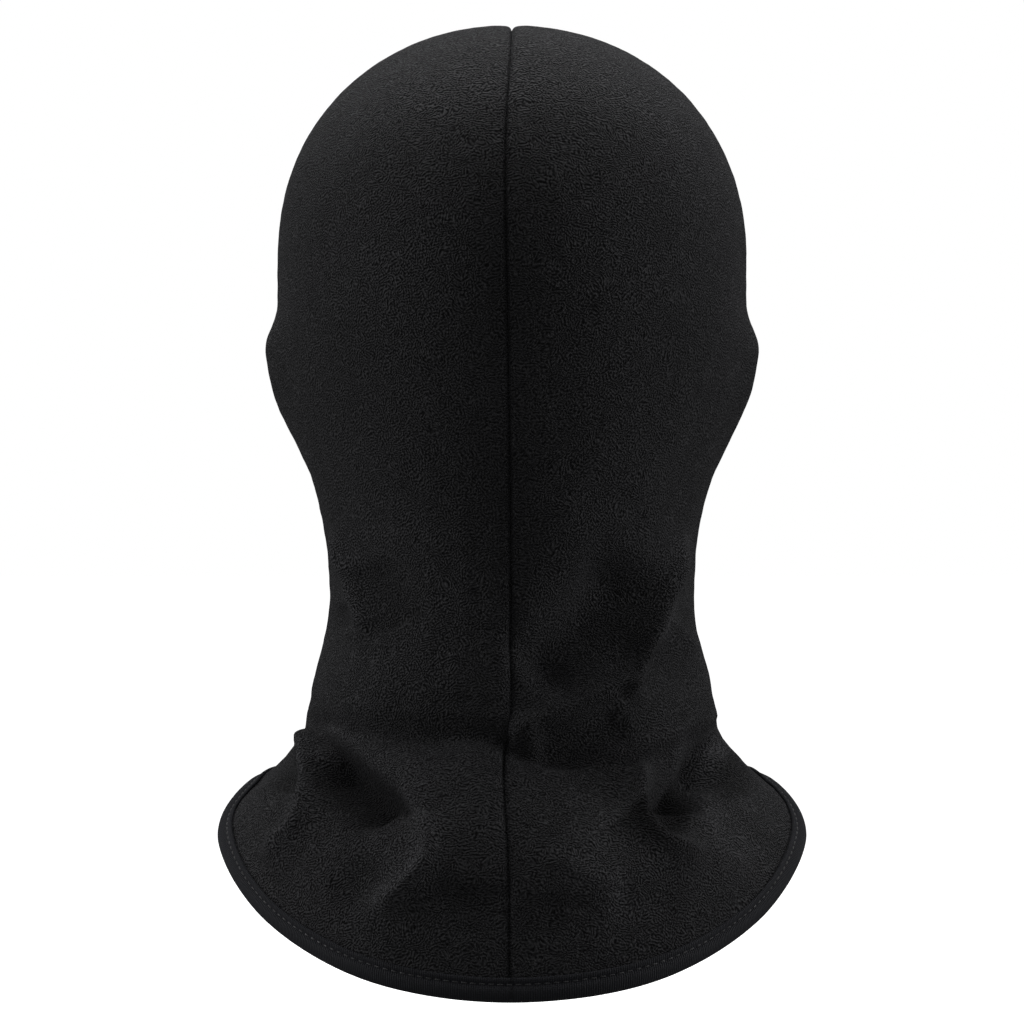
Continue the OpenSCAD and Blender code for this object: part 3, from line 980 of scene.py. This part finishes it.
def tape_material():
    """Fine rib-knit binding tape, a little smoother and bluer than the fleece."""
    material, tree, shader = new_material("binding")
    along = add_node(tree, "ShaderNodeAttribute", attribute_name="along").outputs["Fac"]
    across = add_node(tree, "ShaderNodeAttribute", attribute_name="across").outputs["Fac"]
    place = add_node(tree, "ShaderNodeTexCoord").outputs["Object"]
    wobble = noise(tree, place, 500, 2).outputs[0]
    turn = calc(tree, "MULTIPLY", calc(tree, "ADD", along, calc(tree, "MULTIPLY", wobble, 0.35)),
                2 * math.pi / RIB_PITCH)
    ribs = calc(tree, "MULTIPLY_ADD", calc(tree, "SINE", turn), 0.5)
    loops = calc(tree, "SINE", calc(tree, "MULTIPLY", across, 2 * math.pi / LOOP_PITCH))
    fibre = noise(tree, place, 2600, 2, 0.6).outputs[0]
    height = calc(tree, "ADD", calc(tree, "MULTIPLY", ribs, 0.7),
                  calc(tree, "ADD", calc(tree, "MULTIPLY", loops, 0.12),
                       calc(tree, "MULTIPLY", fibre, 0.5)))
    bump = add_node(tree, "ShaderNodeBump",
                    {"Strength": 1.0, "Distance": 0.00022, "Height": height})
    shade = calc(tree, "ADD", calc(tree, "MULTIPLY", ribs, 0.6), calc(tree, "MULTIPLY", fibre, 0.4),
                 clamp=True)
    tree.links.new(tint(tree, shade, *TAPE_COLOURS),
                   shader.inputs["Base Color"])
    tree.links.new(bump.outputs[0], shader.inputs["Normal"])
    tree.links.new(ramp(tree, fibre, 0.3, 0.7, 0.6, 0.82), shader.inputs["Roughness"])
    shader.inputs["Specular IOR Level"].default_value = 0.16
    shader.inputs["Sheen Weight"].default_value = 0.1
    shader.inputs["Sheen Roughness"].default_value = 0.4
    shader.inputs["Sheen Tint"].default_value = (0.2, 0.2, 0.24, 1)
    return material


def thread_material(name, dark, light):
    """Twisted polyester sewing thread."""
    material, tree, shader = new_material(name)
    place = add_node(tree, "ShaderNodeTexCoord").outputs["Object"]
    ply = add_node(tree, "ShaderNodeTexWave", {
        "Vector": place, "Scale": 900.0, "Distortion": 2.0, "Detail": 1.0,
    }, bands_direction="DIAGONAL").outputs["Fac"]
    bump = add_node(tree, "ShaderNodeBump", {"Strength": 0.7, "Distance": 0.0001, "Height": ply})
    tree.links.new(tint(tree, ply, dark, light), shader.inputs["Base Color"])
    tree.links.new(bump.outputs[0], shader.inputs["Normal"])
    tree.links.new(ramp(tree, ply, 0, 1, 0.62, 0.42), shader.inputs["Roughness"])
    shader.inputs["Sheen Weight"].default_value = 0.2
    return material


def elastic_material():
    """Knitted elastic: rubber ribs under a dull polyester cover."""
    material, tree, shader = new_material("elastic")
    across = add_node(tree, "ShaderNodeAttribute", attribute_name="across").outputs["Fac"]
    along = add_node(tree, "ShaderNodeAttribute", attribute_name="along").outputs["Fac"]
    ribs = calc(tree, "SINE", calc(tree, "MULTIPLY", across, 2 * math.pi / ELASTIC_PITCHES[0]))
    picks = calc(tree, "SINE", calc(tree, "MULTIPLY", along, 2 * math.pi / ELASTIC_PITCHES[1]))
    height = calc(tree, "ADD", ribs, calc(tree, "MULTIPLY", picks, 0.4))
    bump = add_node(tree, "ShaderNodeBump", {"Strength": 0.8, "Distance": 0.0002, "Height": height})
    shade = ramp(tree, height, -1.4, 1.4)
    tree.links.new(tint(tree, shade, *ELASTIC_COLOURS),
                   shader.inputs["Base Color"])
    tree.links.new(bump.outputs[0], shader.inputs["Normal"])
    tree.links.new(ramp(tree, shade, 0, 1, 0.8, 0.6), shader.inputs["Roughness"])
    return material


def label_material():
    """Blank woven satin label."""
    material, tree, shader = new_material("label")
    place = add_node(tree, "ShaderNodeTexCoord").outputs["Object"]
    warp = add_node(tree, "ShaderNodeTexWave",
                    {"Vector": place, "Scale": 1100.0, "Distortion": 0.6},
                    bands_direction="X").outputs["Fac"]
    weft = add_node(tree, "ShaderNodeTexWave",
                    {"Vector": place, "Scale": 700.0, "Distortion": 0.8},
                    bands_direction="Z").outputs["Fac"]
    soil = noise(tree, place, 140, 3).outputs[0]
    weave = calc(tree, "ADD", calc(tree, "MULTIPLY", warp, 0.6), calc(tree, "MULTIPLY", weft, 0.4))
    bump = add_node(tree, "ShaderNodeBump", {"Strength": 0.5, "Distance": 0.00012, "Height": weave})
    shade = calc(tree, "ADD", calc(tree, "MULTIPLY", weave, 0.5), calc(tree, "MULTIPLY", soil, 0.5))
    tree.links.new(tint(tree, shade, *LABEL_COLOURS),
                   shader.inputs["Base Color"])
    tree.links.new(bump.outputs[0], shader.inputs["Normal"])
    tree.links.new(ramp(tree, soil, 0.3, 0.7, 0.38, 0.55), shader.inputs["Roughness"])
    return material


def finish_piece(piece, material, material_slot, *nodes):
    piece.data.materials.append(material)
    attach(piece, "root")
    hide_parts(*nodes)


# ---------------------------------------------------------------- the scene round it

FLOOR_DROP = 0.06
FLOOR_R = 14
SENSOR = 36.0
AMBIENT = 0.13
# Soft lights: place, where it points, size in metres, watts
LIGHTS = {
    "top": ((0, -0.22, 0.95), (0, -0.02, 0), (0.9, 0.8), 11),
    "left": ((1.3, 0.08, 0.1), (0, 0, -0.05), (0.6, 1.6), 13),
    "right": ((-1.3, 0.08, 0.1), (0, 0, -0.05), (0.6, 1.6), 12),
    "low": ((0, 1.3, -0.1), (0, 0, -0.15), (0.8, 0.2), 1.5),
}


def add_camera():
    data = bpy.data.cameras.new("camera")
    data.sensor_width = SENSOR
    data.lens = SENSOR * CAMERA_Y / VIEW_WIDTH
    data.clip_end = 50
    camera = bpy.data.objects.new("camera", data)
    camera.location = (0, CAMERA_Y * MM, CAMERA_Z * MM)
    camera.rotation_euler = (math.radians(90), 0, math.radians(180))
    bpy.context.scene.collection.objects.link(camera)
    bpy.context.scene.camera = camera


def add_light(name, where, towards, size, watts):
    data = bpy.data.lights.new(name, "AREA")
    data.shape = "RECTANGLE"
    data.size, data.size_y = size
    data.energy = watts
    light = bpy.data.objects.new(name, data)
    light.location = where
    light.rotation_euler = (Vector(towards) - Vector(where)).to_track_quat("-Z", "Y").to_euler()
    light.visible_camera = False
    bpy.context.scene.collection.objects.link(light)


def add_floor():
    """Pale floor. It shines a little by itself, and throws no light back on the object."""
    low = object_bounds()[0][2] - FLOOR_DROP
    bpy.ops.mesh.primitive_circle_add(vertices=96, radius=FLOOR_R, fill_type="NGON",
                                      location=(0, 0, low))
    floor = bpy.context.object
    floor.name = "floor"
    material, tree, shader = new_material("floor")
    shader.inputs["Base Color"].default_value = (0.8, 0.8, 0.8, 1)
    shader.inputs["Roughness"].default_value = 1.0
    shader.inputs["Specular IOR Level"].default_value = 0
    shader.inputs["Emission Color"].default_value = (1, 1, 1, 1)
    shader.inputs["Emission Strength"].default_value = 0.95
    floor.data.materials.append(material)
    floor.visible_diffuse = False
    floor.visible_glossy = False


def add_world():
    """White to the camera, dimmer as light."""
    world = bpy.data.worlds.new("studio")
    bpy.context.scene.world = world
    world.use_nodes = True
    tree = world.node_tree
    back = tree.nodes["Background"]
    path = add_node(tree, "ShaderNodeLightPath").outputs["Is Camera Ray"]
    tree.links.new(ramp(tree, path, 0, 1, AMBIENT, 1.0, smooth=False), back.inputs["Strength"])
    back.inputs["Color"].default_value = (1, 1, 1, 1)


def add_studio():
    scene = bpy.context.scene
    scene.view_settings.view_transform = "Standard"
    scene.view_settings.look = "None"
    add_world()
    add_floor()
    for name, settings in LIGHTS.items():
        add_light(name, *settings)


# ---------------------------------------------------------------- run

# Bindings: stitch line's distance from the edge, space between the legs, stitch pitch
HEM_BINDING = {"stitch_at": 4.7, "inside": FLEECE + 0.3}
EYE_BINDING = {"stitch_at": 5.6, "inside": FLEECE + 0.8 + 0.6}
HEM_STITCH_PITCH = 3.0
EYE_STITCH_PITCH = 2.8
# Seam threads stop short of the crown's tip, the hem tape and the eye tape
CROWN_Q = 0.03
SEAM_END_Q = 2.88
EYE_CLEAR = 1

left = build_panel("fleece_left", 1)
right = build_panel("fleece_right", -1)
hem_tape = build_tape("hem_tape", hem_frame, hem_point, HEM_TAPE_W, **HEM_BINDING)
hem_stitches = build_stitches("hem_stitches", hem_frame, hem_point, pitch=HEM_STITCH_PITCH,
                              **HEM_BINDING)
eye_tape = build_tape("eye_tape", eye_frame, eye_outline, EYE_TAPE_W, **EYE_BINDING)
eye_stitches = build_stitches("eye_stitches", eye_frame, eye_outline, pitch=EYE_STITCH_PITCH,
                              **EYE_BINDING)
eye_elastic = build_elastic("elastic_ring")

brow_q = float(row_of(EYE_Z + EYE_HALF_H + EYE_TAPE_W + EYE_CLEAR, np.pi))
chin_q = float(row_of(EYE_Z - EYE_HALF_H - EYE_TAPE_W - EYE_CLEAR, np.pi))
back_threads = make_mesh("overlock_back", *joined(
    overlock(np.pi, 0.0, (brow_q, CROWN_Q), (CROWN_Q, SEAM_END_Q))))
front_threads = make_mesh("overlock_front", *joined(
    overlock(np.pi, 0.0, (chin_q, SEAM_END_Q), None)))
label = build_label("blank_label")
label_stitches = build_label_stitches("label_stitches")

fleece = fleece_material()
tape = tape_material()
black_thread = thread_material("thread", *THREAD_COLOURS)
finish_piece(left, fleece, "fleece", "left_panel")
finish_piece(right, fleece, "fleece", "right_panel")
finish_piece(hem_tape, tape, "binding", "hem_binding")
finish_piece(eye_tape, tape, "binding", "eye_binding")
finish_piece(hem_stitches, black_thread, "thread", "hem_stitching")
finish_piece(eye_stitches, black_thread, "thread", "eye_stitching")
finish_piece(back_threads, black_thread, "thread", "back_seam_thread")
finish_piece(front_threads, black_thread, "thread", "front_seam_thread")
finish_piece(label_stitches, thread_material("label_thread", *LABEL_THREAD_COLOURS), "label",
             "label_stitching")
finish_piece(eye_elastic, elastic_material(), "elastic", "eye_elastic")
finish_piece(label, label_material(), "label", "care_label")

add_camera()
add_studio()
